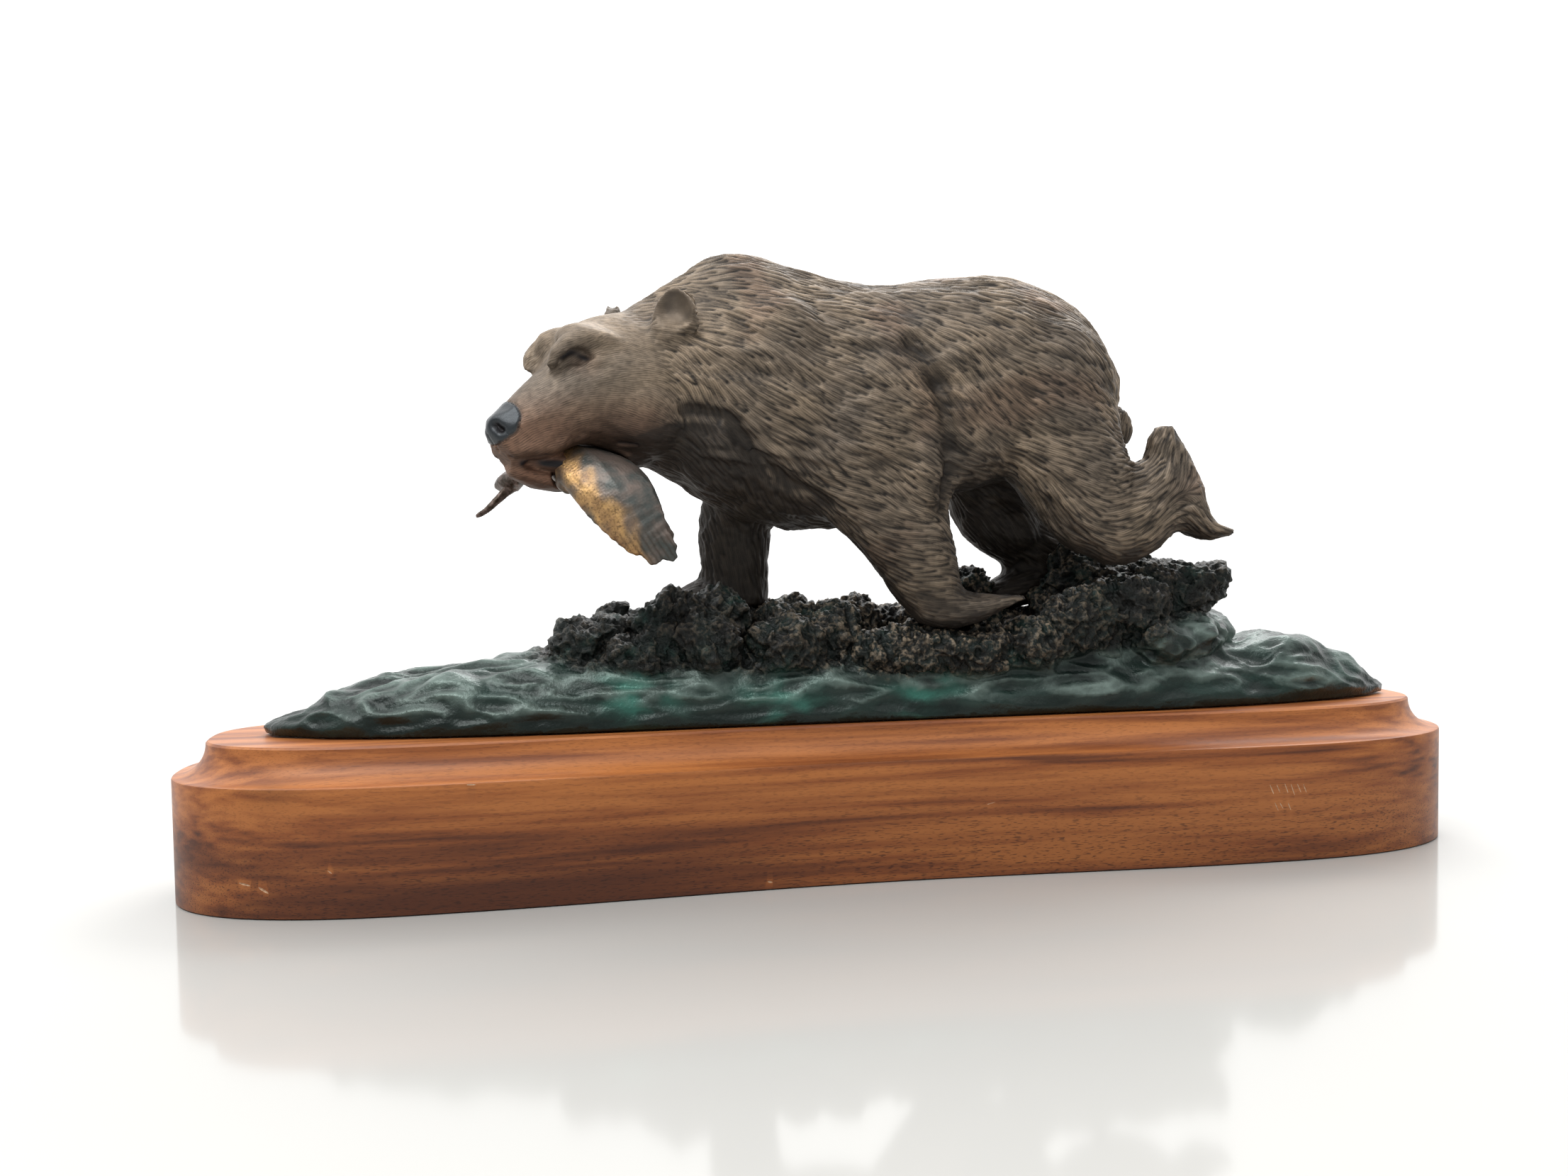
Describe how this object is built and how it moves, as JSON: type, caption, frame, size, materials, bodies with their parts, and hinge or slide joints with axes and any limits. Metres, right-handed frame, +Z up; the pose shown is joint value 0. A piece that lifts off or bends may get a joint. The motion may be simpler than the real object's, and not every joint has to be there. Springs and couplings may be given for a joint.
{
  "type": "bronze bear sculpture",
  "caption": "Table bronze of a brown bear walking over wet rocks with a salmon in its jaws, standing on a waisted walnut plinth with a cove moulding.",
  "frame": {"origin": "middle of the plinth's underside", "axes": "+X along the plinth, towards the bear's hind end; the bear walks towards -X, its left side faces -Y; +Z up"},
  "size_m": [0.394, 0.08, 0.1859],
  "materials": {
    "walnut": "satin oiled walnut, lighter and redder on the moulding, brown streaks below",
    "green_bronze": "green-black patina with turquoise water and tan high spots, waxed",
    "brown_bronze": "brown patina, rubbed grey-brown on the fur's ridges, nearly black in its grooves",
    "golden_bronze": "golden ochre side and belly, grey-green back, speckled"
  },
  "bodies": {
    "root": {"walnut_plinth": "walnut", "rock_and_water_ground": "green_bronze", "bear": "brown_bronze", "salmon": "golden_bronze"}
  },
  "joints": []
}
